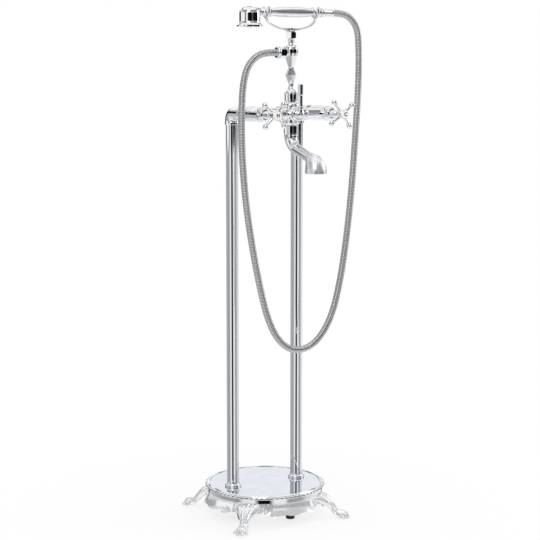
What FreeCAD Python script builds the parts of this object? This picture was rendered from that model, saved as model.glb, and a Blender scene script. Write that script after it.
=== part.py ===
import FreeCAD, Part
import math
import os

# Floor standing bath filler: two standpipes on a claw-footed base carry a two-handle mixer
# with a swivel spout, a riser with a cradle and a hand shower on a metal hose.
# Millimetres. Origin at floor level under the centre of the base, +Z up, -Y to the bath.

os.makedirs("parts", exist_ok=True)
V = FreeCAD.Vector
UP = V(0, 0, 1)
DOWN = V(0, 0, -1)
FRONT = V(0, -1, 0)
LEFT = V(-1, 0, 0)
RIGHT = V(1, 0, 0)

# ---- driving dimensions -------------------------------------------------------------------
# clearances
running_gap = 0.05
thread_gap = 0.15
seat_gap = 0.3

# supply centres and standpipes
inlet_spacing = 150.0
pipe_radius = 12.5
pipe_bore = 10.0
tail_radius = 10.48
tail_bore = 7.0
tail_bottom = 12.0
tail_top = 48.0
tail_relief = 1.5
shank_radius = 11.4

# base
plate_top = 66.0
plate_thickness = 3.0
plate_radius = 114.8
rim_radius = 122.7
rim_lip_height = 1.6
rim_lip_width = 2.4
band_radius = 120.0
band_height = 8.0
deck_thickness = 5.0
deck_drop = 14.0
skirt_wall = 4.0
skirt_flare = 10.0
skirt_edge = 24.0
scallop_rise = 8.5
pad_circle = 70.0
pad_turn = -70.0
pad_top_radius = 12.0
pad_foot_radius = 8.5
pad_height = 15.0
stud_radius = 4.0
boss_wall = 3.0
stud_washer_radius = 9.5
stud_washer_height = 2.0

# claw legs: reach along the diagonal, and height of the ankle above the floor
leg_count = 4
toe_reach = 185.0
knee_reach = 131.0
ankle_height = 19.0
ankle_half_width = 8.8
paw_half_width = 16.0
paw_height = 18.5
toe_count = 4
toe_radius = 4.9
toe_length = 17.0

# pipe collars on the plate and nuts under the deck
collar_radius = 17.2
collar_height = 5.0
collar_neck_radius = 14.2
collar_neck_height = 5.0
locknut_across = 30.0
locknut_height = 6.0
lockwasher_radius = 17.0
lockwasher_thickness = 1.5

# mixer
mixer_height = 835.0
crossbar_reach = 108.0
elbow_radius = 14.0
elbow_bend = 16.0
elbow_socket_radius = 14.4
elbow_socket_drop = 24.0
socket_depth = 6.0
elbow_neck_radius = 11.5
elbow_arm_end = 52.0
joint_reach = 75.0
union_radius = 15.4
union_length = 17.0
union_flange_thickness = 3.6
union_flange_radius = 12.3
washer_thickness = 2.0
washer_bore = 8.0
barrel_radius = 15.0
barrel_front_radius = 14.3
barrel_step = 97.0
barrel_end = 121.0
bonnet_length = 19.0
bonnet_nose_radius = 9.0
bonnet_wall = 2.2
bonnet_neck_radius = 7.6
cartridge_step = 1.6
cartridge_nose_drop = 2.2
crossbar_radius = 12.0
crossbar_bore = 7.0
hub_radius = 17.0
hub_height = 46.0
hub_tail = 7.0
hub_ring_radius = 14.4
hub_ring_reach = 29.0
boss_radius = 15.4
boss_reach = 135.0
hub_bore = 8.0

# cross handles
spindle_radius = 4.0
handle_hub_start = 161.0
handle_hub_length = 27.5
handle_hub_radius = 9.6
handle_arm_reach = 28.5
handle_arm_plane = 177.0
handle_arm_root = 3.6
handle_arm_neck = 2.5
handle_ball_radius = 5.9
button_radius = 8.4
button_rim = 0.9
button_depth = 4.0
button_crown = 1.6
screw_head_radius = 3.2
screw_radius = 1.8
screw_length = 9.0
spindle_depth = 18.5
button_seat = 3.0
hot_turn = 2.0
cold_turn = -8.0

# diverter
diverter_cap_length = 6.0
diverter_cap_radius = 13.6
diverter_cap_depth = 9.0
diverter_hub_radius = 7.5
diverter_hub_length = 9.0
lever_length = 59.5
lever_stem_radius = 4.0
lever_grip_radius = 4.7
lever_grip_length = 22.0

# spout
spout_collar_radius = 14.6
spout_collar_height = 16.0
spout_tail_radius = 9.5
spout_tube_radius = 14.4
spout_neck_radius = 10.6
spout_head = 1.2
spout_bend = 29.0
spout_tilt = 75.0
spout_flare = 1.85
spout_stations = 8
spout_mouth_radius = 21.3
spout_mouth_height = 724.0
spout_reach = 96.8
spout_wall = 2.4
spout_seat_radius = 14.8
aerator_base = 732.0
aerator_radius = 9.0
aerator_height = 8.0
oring_section = 1.3

# riser column
riser_nut_radius = 13.0
riser_nut_height = 16.5
riser_flare_radius = 14.0
riser_neck_radius = 4.8
riser_diamond_radius = 11.2
riser_waist_radius = 5.7
riser_body_radius = 13.8
riser_top_radius = 5.5
riser_height = 122.0
riser_facets = 8
outlet_height = 119.0
outlet_reach = 14.6
outlet_boss_radius = 8.2
outlet_bore = 4.5
hose_nut_across = 21.5
hose_nut_length = 18.5
hose_nut_ring = 11.6

# cradle
cradle_nut_across = 19.0
cradle_nut_height = 12.0
cradle_stem_radius = 5.0
cradle_half_span = 55.0
cradle_bow_depth = 37.0
cradle_foot_rise = 1.0
cradle_bar_thick = 4.6
cradle_bar_wide = 8.6
fork_bar_radius = 2.6
fork_tip_radius = 3.0
fork_tip_spread = 0.7
fork_seat_radius = 7.6
fork_rise = 7.0

# hand shower
grip_left_radius = 8.0
grip_right_radius = 7.0
grip_mid_radius = 10.4
grip_left = -64.0
grip_right = 66.0
collar_ring_radius = 9.6
collar_ring_width = 3.0
head_centre = -91.5
head_radius = 20.6
head_crown_rise = 11.0
head_rim_radius = 25.6
head_rim_drop = 28.0
head_wall = 2.0
neck_radius = 6.4
spray_plate_thickness = 2.0
spray_plate_set = 0.8
spray_nub_radius = 5.0
spray_nub_drop = 4.5
cone_nut_length = 27.0
cone_nut_big = 8.6
cone_nut_small = 7.3
cone_nut_ribs = 7
handset_tail_radius = 5.2

# hose
hose_radius = 7.0
hose_bore = 4.5

# ---- places worked out from the driving dimensions --------------------------------------------
half_spacing = inlet_spacing / 2
hub_centre = V(0, -crossbar_reach, mixer_height)
hub_top = mixer_height + hub_height / 2
hub_bottom = mixer_height - hub_height / 2
plate_under = plate_top - plate_thickness
deck_under = plate_under - deck_thickness
band_top = plate_top - rim_lip_width - 4.0
band_bottom = band_top - band_height
deck_radius = band_radius - 5.5
riser_base = hub_top + 1.5 + riser_nut_height
cradle_nut_base = riser_base + riser_height - 16.5
cradle_bow_bottom = cradle_nut_base + cradle_nut_height + cradle_foot_rise
handset_height = cradle_bow_bottom + cradle_bow_depth
head_top = handset_height + head_crown_rise
head_rim_height = handset_height - head_rim_drop
outlet_z = hub_centre.z + outlet_height
sides = (("left", -half_spacing), ("right", half_spacing))
taps = (("hot", -half_spacing, hot_turn), ("cold", half_spacing, cold_turn))


# ---- shared shape builders ----------------------------------------------------------------------
def placed(shape, base, axis):
    """Put a shape drawn about +Z on a base point, with its Z turned to the axis."""
    shape.Placement = FreeCAD.Placement(base, FreeCAD.Rotation(UP, axis))
    return shape


def profile_face(points):
    """Face in the XZ plane: (r, h) adds a line, (r, h, mid_r, mid_h) adds an arc."""
    edges = []
    last = V(points[0][0], 0, points[0][1])
    for point in points[1:] + points[:1]:
        here = V(point[0], 0, point[1])
        if here.isEqual(last, 1e-7):
            continue
        if len(point) == 4:
            edges.append(Part.Arc(last, V(point[2], 0, point[3]), here).toShape())
        else:
            edges.append(Part.LineSegment(last, here).toShape())
        last = here
    return Part.Face(Part.Wire(edges))


def cap(radius, edge, pole):
    """Middle of the arc of a round cap from a rim to its pole on the axis."""
    centre = (pole ** 2 - edge ** 2 - radius ** 2) / (2 * (pole - edge))
    big = abs(pole - centre)
    way = 1 if pole > centre else -1
    half = math.atan2(radius, (edge - centre) * way) / 2
    return big * math.sin(half), centre + way * big * math.cos(half)


def turned(points, base=V(0, 0, 0), axis=UP):
    """Solid of revolution of a profile of (radius, height) about the axis through the base."""
    solid = profile_face(points).revolve(V(0, 0, 0), UP, 360)
    return placed(solid, base, axis)


def rod(radius, start, end):
    return Part.makeCylinder(radius, (end - start).Length, start, end - start)


def polygon(across, sides_count, centre, turn=0.0):
    """Closed regular polygon in a level plane, by its size across flats."""
    corner = across / 2 / math.cos(math.pi / sides_count)
    corners = []
    for k in range(sides_count + 1):
        angle = math.radians(turn + 360.0 * k / sides_count)
        corners.append(centre + V(corner * math.cos(angle), corner * math.sin(angle), 0))
    return Part.makePolygon(corners)


def hex_nut(across, height, bore, base, axis, crown=0.12):
    """Hexagon nut with both end faces chamfered round, drawn about the axis."""
    prism = Part.Face(polygon(across, 6, V(0, 0, 0))).extrude(V(0, 0, height))
    corner = across / 2 / math.cos(math.pi / 6)
    drop = across * crown / 2
    cone = turned([(0, 0), (across / 2, 0), (corner + 0.1, drop),
                   (corner + 0.1, height - drop), (across / 2, height), (0, height)])
    nut = prism.common(cone).cut(Part.makeCylinder(bore, height + 2, V(0, 0, -1)))
    return placed(nut.removeSplitter(), base, axis)


def circle_wire(radius, centre, normal):
    return Part.Wire(Part.Circle(centre, normal, radius).toShape())


def lofted(wires, ruled=False):
    return Part.makeLoft(wires, True, ruled)


def spun(shape, angle):
    copy = shape.copy()
    copy.rotate(V(0, 0, 0), UP, angle)
    return copy


def fused(shapes):
    whole = shapes[0].multiFuse(shapes[1:])
    return whole.removeSplitter()


def group(shapes):
    return shapes[0] if len(shapes) == 1 else Part.makeCompound(shapes)


def export(shape, name):
    shape.exportStep("parts/" + name + ".step")


# ---- base -----------------------------------------------------------------------------------------
def skirt():
    """Apron under the band: shell with a cove and a flare, and a deck that carries the plate."""
    shoulder = band_radius - 1.0
    foot = shoulder + skirt_flare
    mid_z = (band_bottom + skirt_edge) / 2
    return turned([
        (0, plate_under), (deck_radius, plate_under), (deck_radius, band_bottom),
        (shoulder, band_bottom),
        (foot, skirt_edge, shoulder + skirt_flare * 0.28, mid_z),
        (foot - skirt_wall, skirt_edge),
        (deck_radius - skirt_wall, deck_under, shoulder + skirt_flare * 0.28 - skirt_wall, mid_z),
        (0, deck_under)])


def scallops():
    """Cutters that leave each side of the apron a hanging lobe between two points and hollows."""
    lobe = 46.0
    hollow = 66.0
    edge = 84.0
    face = profile_face([
        (-edge, skirt_edge - 12), (-edge, skirt_edge + 4),
        (-lobe, skirt_edge, -hollow, skirt_edge + scallop_rise),
        (-lobe / 3, skirt_edge + 3.2, -lobe * 0.68, skirt_edge + 3.4),
        (lobe / 3, skirt_edge + 3.2, 0, skirt_edge + 1.2),
        (lobe, skirt_edge, lobe * 0.68, skirt_edge + 3.4),
        (edge, skirt_edge + 4, hollow, skirt_edge + scallop_rise),
        (edge, skirt_edge - 12)])
    tool = face.extrude(V(0, -80, 0))
    tool.translate(V(0, -75, 0))
    return [spun(tool, 90 * k) for k in range(leg_count)]


def oval(half_wide, half_thick, reach, height, tilt):
    """Oval wire of a leg section: wide across the leg, its plane tilted down by the angle."""
    wire = Part.Wire(Part.Ellipse(V(0, 0, 0), half_wide, half_thick).toShape())
    wire.rotate(V(0, 0, 0), V(0, 0, 1), 90)
    wire.rotate(V(0, 0, 0), V(0, 1, 0), 90 + tilt)
    wire.translate(V(reach, 0, height))
    return wire


def toe(side, tip):
    """One clawed toe: a plump rounded finger that leans down to the floor."""
    knuckle = toe_radius * 1.0
    nail = toe_length - toe_radius * 0.62
    spindle = turned([
        (0, 0), (toe_radius, knuckle, *cap(toe_radius, knuckle, 0)),
        (toe_radius * 0.62, nail, toe_radius * 0.95, toe_length * 0.6),
        (0, toe_length, *cap(toe_radius * 0.62, nail, toe_length))])
    slope = V(math.cos(math.radians(24)), side * 0.1, -math.sin(math.radians(24)))
    start = V(tip - toe_length * 0.98, side, paw_height * 0.45)
    return placed(spindle, start, slope)


def claw_leg():
    """Cabriole leg along +X: flared knee, thin ankle, paw with toes, flat under the paw."""
    body = lofted([
        oval(32.0, 10.5, deck_radius - 2, band_bottom - 11, 10),
        oval(23.0, 9.6, knee_reach - 4, band_bottom - 13, 32),
        oval(13.5, 8.4, knee_reach + 9, ankle_height + 9, 52),
        oval(ankle_half_width, 7.0, knee_reach + 17, ankle_height, 56),
        oval(12.5, 7.4, knee_reach + 25, paw_height * 0.62, 30),
        oval(paw_half_width, 8.7, toe_reach - 16, paw_height * 0.45, 6),
        oval(paw_half_width * 0.8, 6.4, toe_reach - 9, paw_height * 0.38, 4)])
    ridge = lofted([
        circle_wire(4.2, V(deck_radius + 3, 0, band_bottom - 4), V(0.85, 0, -0.5)),
        circle_wire(3.4, V(knee_reach + 4, 0, ankle_height + 21), V(0.7, 0, -0.7)),
        circle_wire(2.4, V(knee_reach + 16, 0, ankle_height + 9), V(0.55, 0, -0.83))])
    spread = 2 * (paw_half_width - toe_radius * 0.75) / (toe_count - 1)
    toes = []
    for k in range(toe_count):
        side = (k - (toe_count - 1) / 2) * spread
        toes.append(toe(side, toe_reach - 1.6 * abs(side) / 6))
    leg = body.multiFuse([ridge] + toes)
    room = Part.makeBox(120, 90, band_bottom, V(deck_radius - 12, -45, 0))
    return leg.common(room)


def pad_angles():
    return [pad_turn + 90 * k for k in range(leg_count)]


def pad_place(angle, height):
    turn = math.radians(angle)
    return V(pad_circle * math.cos(turn), pad_circle * math.sin(turn), height)


def base_casting():
    body = skirt().cut(scallops())
    inside = Part.makeCylinder(deck_radius - skirt_wall - 1.5, deck_under, V(0, 0, 0))
    legs = [spun(claw_leg(), 45 + 90 * k).cut(inside) for k in range(leg_count)]
    bosses = []
    for angle in pad_angles():
        start = pad_place(angle, deck_under - deck_drop)
        bosses.append(Part.makeCylinder(stud_radius + boss_wall, deck_drop, start))
    casting = body.multiFuse(legs + bosses)
    holes = []
    for angle in pad_angles():
        start = pad_place(angle, deck_under - deck_drop - 1)
        holes.append(Part.makeCylinder(stud_radius + thread_gap, deck_drop + 1, start))
    for _, x in sides:
        holes.append(Part.makeCylinder(shank_radius + thread_gap, 30, V(x, 0, deck_under - 10)))
    return casting.cut(holes).removeSplitter()


def base_plate():
    plate = turned([(0, plate_under), (plate_radius, plate_under),
                    (plate_radius, plate_top - 0.6), (plate_radius - 0.6, plate_top),
                    (0, plate_top)])
    holes = [Part.makeCylinder(shank_radius + thread_gap, 10, V(x, 0, plate_under - 2))
             for _, x in sides]
    return plate.cut(holes)


def rim_ring():
    """Ring round the plate: raised lip, cove for the beads and a plain band under it."""
    inner = plate_radius + seat_gap
    lip_top = plate_top + rim_lip_height
    cove = rim_radius - 2.4
    fit = deck_radius + running_gap
    return turned([
        (inner, plate_under), (inner, lip_top - 0.6),
        (inner + rim_lip_width, lip_top - 0.6, inner + rim_lip_width / 2, lip_top),
        (cove, lip_top - 3.2, cove - 1.6, lip_top - 1.2),
        (rim_radius, band_top + 1.6, rim_radius - 0.4, band_top + 3.4),
        (band_radius, band_top, rim_radius - 0.6, band_top + 0.3),
        (band_radius, band_bottom), (fit, band_bottom), (fit, plate_under)])


def levelling_studs():
    studs = []
    for angle in pad_angles():
        washer_z = pad_height
        studs.append(turned([
            (0, pad_height * 0.5), (stud_radius, pad_height * 0.5), (stud_radius, washer_z),
            (stud_washer_radius, washer_z), (stud_washer_radius, washer_z + stud_washer_height),
            (stud_radius, washer_z + stud_washer_height), (stud_radius, deck_under - 1.0),
            (0, deck_under - 1.0)], pad_place(angle, 0)))
    return group(studs)


def rubber_feet():
    feet = []
    for angle in pad_angles():
        feet.append(turned([
            (0, 0), (pad_foot_radius, 0), (pad_top_radius, pad_height - 3),
            (pad_top_radius, pad_height - 0.8),
            (pad_top_radius - 0.8, pad_height, pad_top_radius - 0.2, pad_height - 0.2),
            (stud_radius + running_gap, pad_height),
            (stud_radius + running_gap, pad_height * 0.5), (0, pad_height * 0.5)],
            pad_place(angle, 0)))
    return group(feet)


# ---- standpipes and their fixing ---------------------------------------------------------------
def pipe_collars():
    """Stepped ring round the foot of each standpipe, resting on the plate."""
    bore = pipe_radius + running_gap
    top = collar_height + collar_neck_height
    rings = []
    for _, x in sides:
        rings.append(turned([
            (bore, 0), (collar_radius - 1.2, 0),
            (collar_radius - 1.2, collar_height, collar_radius, collar_height / 2),
            (collar_neck_radius, collar_height + 0.8),
            (collar_neck_radius - 0.9, top - 1.2, collar_neck_radius - 1.2, top - 2.6),
            (collar_neck_radius - 0.9, top), (bore, top)], V(x, 0, plate_top)))
    return group(rings)


def standpipe(x):
    """Tube from the plate up into the elbow socket, with a screwed supply tail below the plate."""
    top = mixer_height - elbow_socket_drop + socket_depth
    return turned([
        (tail_bore, tail_bottom), (tail_radius - 1.0, tail_bottom),
        (tail_radius, tail_bottom + 1.0), (tail_radius, tail_top),
        (tail_radius - 0.8, tail_top), (tail_radius - 0.8, tail_top + tail_relief),
        (shank_radius, tail_top + tail_relief), (shank_radius, plate_top), (pipe_radius, plate_top),
        (pipe_radius, top), (pipe_bore, top), (pipe_bore, plate_top + 6),
        (tail_bore, plate_top + 3)], V(x, 0, 0))


def lock_washers():
    return group([turned([
        (shank_radius + thread_gap, 0), (lockwasher_radius, 0),
        (lockwasher_radius, lockwasher_thickness),
        (shank_radius + thread_gap, lockwasher_thickness)],
        V(x, 0, deck_under - lockwasher_thickness)) for _, x in sides])


def lock_nuts():
    base_z = deck_under - lockwasher_thickness - locknut_height
    return group([hex_nut(locknut_across, locknut_height, shank_radius + thread_gap,
                          V(x, 0, base_z), UP) for _, x in sides])


def elbow(x):
    """Angle joint: socket on the standpipe, round bend and an arm to the union on the valve."""
    corner = V(x, -elbow_bend, mixer_height - elbow_bend)

    def pipe(radius):
        start = Part.Face(circle_wire(radius, V(x, 0, corner.z), UP))
        return start.revolve(corner, RIGHT, 90)

    socket_top = V(x, 0, mixer_height - elbow_bend)
    socket_low = V(x, 0, mixer_height - elbow_socket_drop)
    neck_start = V(x, -elbow_arm_end, mixer_height)
    flange_face = V(x, -(joint_reach - washer_thickness), mixer_height)
    flange_back = flange_face - FRONT * union_flange_thickness
    outer = [
        turned([(0, 0), (elbow_socket_radius - 0.6, 0), (elbow_socket_radius, 0.8),
                (elbow_socket_radius, 5.0), (elbow_radius, 6.4),
                (elbow_radius, elbow_socket_drop - elbow_bend), (0, elbow_socket_drop - elbow_bend)],
               socket_low, UP),
        pipe(elbow_radius),
        turned([(0, 0), (elbow_radius, 0), (elbow_radius, elbow_arm_end - elbow_bend - 5),
                (elbow_radius + 0.8, elbow_arm_end - elbow_bend - 3.5,
                 elbow_radius + 0.7, elbow_arm_end - elbow_bend - 4.8),
                (elbow_neck_radius, elbow_arm_end - elbow_bend,
                 elbow_radius + 0.4, elbow_arm_end - elbow_bend - 0.8),
                (0, elbow_arm_end - elbow_bend)],
               V(x, -elbow_bend, mixer_height), FRONT),
        rod(elbow_neck_radius, neck_start, flange_face),
        rod(union_flange_radius, flange_back, flange_face)]
    pipe_end = socket_low + UP * socket_depth
    water = fused([
        rod(pipe_radius + running_gap, socket_low - UP, pipe_end),
        rod(washer_bore, pipe_end, socket_top),
        pipe(washer_bore),
        rod(washer_bore, V(x, -elbow_bend, mixer_height), flange_face + FRONT)])
    return fused(outer).cut(water).removeSplitter()


def union_nuts():
    """Round union nut that draws the elbow's flange against the valve's tail."""
    start = joint_reach + washer_thickness + 8 - union_length
    lip = elbow_neck_radius + seat_gap
    hold = union_flange_radius + thread_gap
    flange_back = joint_reach - washer_thickness - union_flange_thickness - start
    return group([turned([
        (lip, 0), (union_radius - 1.8, 0), (union_radius - 0.3, 3.0, union_radius - 0.8, 0.9),
        (union_radius - 0.3, union_length - 5.5), (union_radius, union_length - 4.8),
        (union_radius, union_length - 1.4),
        (union_radius - 1.2, union_length - 0.2, union_radius - 0.3, union_length - 0.5),
        (hold, union_length - 0.2), (hold, flange_back), (lip, flange_back)],
        V(x, -start, mixer_height), FRONT) for _, x in sides])


def union_washers():
    return group([turned([
        (washer_bore, 0), (union_flange_radius - 0.3, 0),
        (union_flange_radius - 0.3, washer_thickness), (washer_bore, washer_thickness)],
        V(x, -(joint_reach - washer_thickness), mixer_height), FRONT) for _, x in sides])


# ---- mixer body --------------------------------------------------------------------------------------
def valve_barrel(x):
    tail_end = joint_reach + washer_thickness + 8
    return turned([
        (0, joint_reach), (union_flange_radius, joint_reach), (union_flange_radius, tail_end),
        (barrel_radius - 0.8, tail_end), (barrel_radius, tail_end + 0.8),
        (barrel_radius, barrel_step - 1.2),
        (barrel_front_radius, barrel_step, barrel_radius - 0.2, barrel_step - 0.3),
        (barrel_front_radius, barrel_end), (0, barrel_end)],
        V(x, 0, mixer_height), FRONT)


def hub():
    """Upright barrel of the mixer with rounded shoulders and nipples at both ends."""
    shoulder = hub_height * 0.2
    nipple = riser_nut_radius - 2.8
    neck_top = riser_nut_height * 0.5
    return turned([
        (0, -hub_height / 2 - hub_tail), (nipple, -hub_height / 2 - hub_tail),
        (nipple, -hub_height / 2),
        (riser_nut_radius, -hub_height / 2),
        (hub_radius, -hub_height / 2 + shoulder, hub_radius - 1.1, -hub_height / 2 + shoulder * 0.3),
        (hub_radius, hub_height / 2 - shoulder, hub_radius + 0.9, 0),
        (riser_nut_radius, hub_height / 2, hub_radius - 1.1, hub_height / 2 - shoulder * 0.3),
        (nipple, hub_height / 2), (nipple, hub_height / 2 + neck_top),
        (0, hub_height / 2 + neck_top)], hub_centre)


def crossbar(direction):
    """Arm from the hub to a valve: ring by the hub, then a slightly tapered bar."""
    return turned([
        (0, 0), (hub_ring_radius, 0), (hub_ring_radius, hub_ring_reach - 3),
        (hub_ring_radius, hub_ring_reach + 1, hub_ring_radius + 0.9, hub_ring_reach - 1),
        (crossbar_radius, hub_ring_reach + 4, crossbar_radius + 0.6, hub_ring_reach + 2.2),
        (crossbar_radius - 0.5, half_spacing), (0, half_spacing)], hub_centre, direction)


def front_boss():
    reach = boss_reach - crossbar_reach
    return turned([
        (0, 0), (boss_radius - 1.0, 0), (boss_radius - 1.0, reach - 9),
        (boss_radius, reach - 6.5, boss_radius - 0.2, reach - 8.2), (boss_radius, reach - 1),
        (boss_radius - 1.0, reach), (0, reach)], hub_centre, FRONT)


def mixer_body():
    solid = fused([hub(), crossbar(LEFT), crossbar(RIGHT), front_boss()]
                  + [valve_barrel(x) for _, x in sides])
    water = [
        rod(crossbar_bore, V(-half_spacing, -crossbar_reach, mixer_height),
            V(half_spacing, -crossbar_reach, mixer_height)),
        rod(hub_bore, hub_centre - UP * hub_height, hub_centre + UP * hub_height),
        rod(diverter_cap_radius - 3.0, hub_centre + FRONT * 9,
            hub_centre + FRONT * (boss_reach - crossbar_reach + 1))]
    for _, x in sides:
        water.append(rod(washer_bore, V(x, -joint_reach + 1, mixer_height),
                         V(x, -crossbar_reach, mixer_height)))
        water.append(rod(cartridge_radius(), V(x, -barrel_step, mixer_height),
                         V(x, -barrel_end - 1, mixer_height)))
    return solid.cut(water).removeSplitter()


def cartridge_radius():
    return barrel_front_radius - bonnet_wall - cartridge_step


def cartridge(x):
    """Quarter-turn headwork: brass sleeve in the barrel that guides the spindle."""
    radius = cartridge_radius() - thread_gap
    bore = spindle_radius + running_gap
    nose = radius - cartridge_nose_drop
    length = bonnet_length + barrel_end - barrel_step - 3
    return turned([
        (bore, 0), (radius, 0), (radius, 4), (radius - 1.4, 5), (radius - 1.4, 8),
        (radius, 9), (radius, length - 12), (nose, length - 10), (nose, length),
        (bore, length)], V(x, -barrel_step - 1, mixer_height), FRONT)


def bonnet(x):
    """Bell cover between the barrel and the handle, with a narrow neck up to the handle."""
    nose = handle_hub_start - barrel_end - seat_gap
    wall_in = barrel_front_radius - bonnet_wall
    roof = bonnet_length - 1.5
    crown = cartridge_radius() - cartridge_nose_drop + seat_gap
    bore = spindle_radius + seat_gap
    return turned([
        (wall_in, 0), (barrel_front_radius - 0.2, 0), (barrel_front_radius - 0.2, 3),
        (bonnet_nose_radius + 2.4, bonnet_length - 3,
         barrel_front_radius - 0.6, bonnet_length * 0.55),
        (bonnet_nose_radius, bonnet_length, bonnet_nose_radius + 1.6, bonnet_length - 0.8),
        (bonnet_neck_radius, bonnet_length), (bonnet_neck_radius, nose), (bore, nose),
        (bore, roof), (crown, roof), (crown, bonnet_length - 5), (wall_in, 8)],
        V(x, -barrel_end, mixer_height), FRONT)


def spindle(x):
    """Round stem that turns in the cartridge, drilled for the handle's screw."""
    start = V(x, -(barrel_step + 1.0), mixer_height)
    end = V(x, -(handle_hub_start + spindle_depth), mixer_height)
    thread = rod(screw_radius + thread_gap, end - FRONT * (screw_length - 1), end + FRONT)
    return rod(spindle_radius, start, end).cut(thread)


# ---- cross handles -----------------------------------------------------------------------------------
def handle_cross(x, turn):
    """Four-armed handle: bell hub, tapered arms with ball ends, cup for the index button."""
    length = handle_hub_length
    root = V(x, -handle_hub_start, mixer_height)
    hub_body = turned([
        (0, 0), (handle_hub_radius - 1.6, 0), (handle_hub_radius, 2.2,
         handle_hub_radius - 0.4, 0.5),
        (handle_hub_radius - 3.0, 8.5, handle_hub_radius - 2.3, 4.6),
        (handle_hub_radius - 0.8, 13.0, handle_hub_radius - 1.9, 11.0),
        (handle_hub_radius - 0.8, 19.5), (handle_hub_radius, 21.5),
        (handle_hub_radius, length - 0.8), (handle_hub_radius - 0.8, length), (0, length)],
        root, FRONT)
    arms = []
    inner = handle_hub_radius * 0.55
    pole = handle_arm_reach + handle_ball_radius
    neck = pole - handle_ball_radius * 1.87
    for k in range(4):
        angle = math.radians(turn + 45 + 90 * k)
        way = V(math.cos(angle), 0, math.sin(angle))
        arms.append(turned([
            (0, inner), (handle_arm_root + 0.6, inner), (handle_arm_root, 10.0),
            (handle_arm_neck, neck - 2.2), (handle_arm_neck + 1.2, neck - 1.0),
            (handle_arm_neck + 0.4, neck + 0.4),
            (0, pole, *cap(handle_arm_neck + 0.4, neck + 0.4, pole))],
            V(x, -handle_arm_plane, mixer_height), way))
    cross = hub_body.multiFuse(arms)
    cup_depth = button_depth + button_seat
    cup = rod(button_radius + running_gap, root + FRONT * (length - cup_depth),
              root + FRONT * (length + 1))
    socket = rod(spindle_radius + running_gap, root - FRONT, root + FRONT * spindle_depth)
    screw_way = rod(screw_radius + thread_gap, root, root + FRONT * length)
    return cross.cut([cup, socket, screw_way]).removeSplitter()


def handle_screw(x):
    """Countersunk screw that holds the handle on the spindle, under the button."""
    seat = handle_hub_start + handle_hub_length - button_depth - button_seat
    return turned([
        (0, -screw_length), (screw_radius, -screw_length), (screw_radius, 0),
        (screw_head_radius, 0), (screw_head_radius, 1.4),
        (1.0, 1.4), (1.0, 0.6), (0, 0.6)], V(x, -seat, mixer_height), FRONT)


def index_button(x):
    """Domed porcelain button that snaps into the handle's cup."""
    seat = handle_hub_start + handle_hub_length - button_depth
    pole = button_depth + button_rim + button_crown
    return turned([
        (0, 0), (button_radius - 0.3, 0), (button_radius, 0.4),
        (button_radius, button_depth + button_rim * 0.6),
        (button_radius - 0.9, button_depth + button_rim + 0.4,
         button_radius - 0.25, button_depth + button_rim + 0.1),
        (0, pole, *cap(button_radius - 0.9, button_depth + button_rim + 0.4, pole))],
        V(x, -seat, mixer_height), FRONT)


# ---- diverter -------------------------------------------------------------------------------------------
def diverter_cap():
    """Screwed cap that closes the front boss and guides the lever's spindle."""
    seat = hub_centre + FRONT * (boss_reach - crossbar_reach)
    bore = spindle_radius + running_gap
    return turned([
        (bore, -diverter_cap_depth),
        (diverter_cap_radius - 3.0 - thread_gap, -diverter_cap_depth),
        (diverter_cap_radius - 3.0 - thread_gap, 0), (diverter_cap_radius, 0),
        (diverter_cap_radius, 1.2),
        (diverter_hub_radius + 1.5, diverter_cap_length - 1.4,
         diverter_cap_radius - 1.4, diverter_cap_length - 2.4),
        (diverter_hub_radius, diverter_cap_length), (bore, diverter_cap_length)],
        seat, FRONT)


def diverter_valve():
    """Turning plug behind the cap, with the spindle that the lever sits on."""
    seat = hub_centre + FRONT * (boss_reach - crossbar_reach)
    front = -diverter_cap_depth - seat_gap
    back = front - 8.2
    plug = turned([
        (0, back), (diverter_cap_radius - 4.5, back), (diverter_cap_radius - 4.5, front),
        (spindle_radius, front),
        (spindle_radius, diverter_cap_length + diverter_hub_length - 3),
        (0, diverter_cap_length + diverter_hub_length - 3)], seat, FRONT)
    middle = seat + FRONT * ((front + back) / 2)
    port = rod(3.4, middle - UP * 12, middle + UP * 12)
    return plug.cut(port)


def diverter_lever():
    """Upright lever: round boss on the spindle, waisted stem and a barrel grip."""
    start = hub_centre + FRONT * (boss_reach - crossbar_reach + diverter_cap_length + seat_gap)
    dome_edge = diverter_hub_length - 3
    grip_edge = lever_length - 2.0
    boss = turned([
        (0, 0), (diverter_hub_radius, 0), (diverter_hub_radius, dome_edge),
        (0, diverter_hub_length, *cap(diverter_hub_radius, dome_edge, diverter_hub_length))],
        start, FRONT)
    grip = lever_length - lever_grip_length
    stem = turned([
        (0, 0), (lever_stem_radius, 0), (lever_stem_radius, diverter_hub_radius + 2.0),
        (lever_stem_radius + 0.9, diverter_hub_radius + 3.2),
        (lever_stem_radius + 0.9, diverter_hub_radius + 6.6),
        (lever_stem_radius, diverter_hub_radius + 8.0), (lever_stem_radius, grip - 1.6),
        (lever_grip_radius - 0.2, grip), (lever_grip_radius, grip + 1.2),
        (lever_grip_radius + 0.2, grip_edge),
        (0, lever_length, *cap(lever_grip_radius + 0.2, grip_edge, lever_length))],
        V(0, start.y - diverter_hub_length / 2, mixer_height), UP)
    socket = rod(spindle_radius + running_gap, start - FRONT,
                 start + FRONT * (diverter_hub_length - 3))
    return boss.fuse(stem).cut(socket).removeSplitter()


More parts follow.
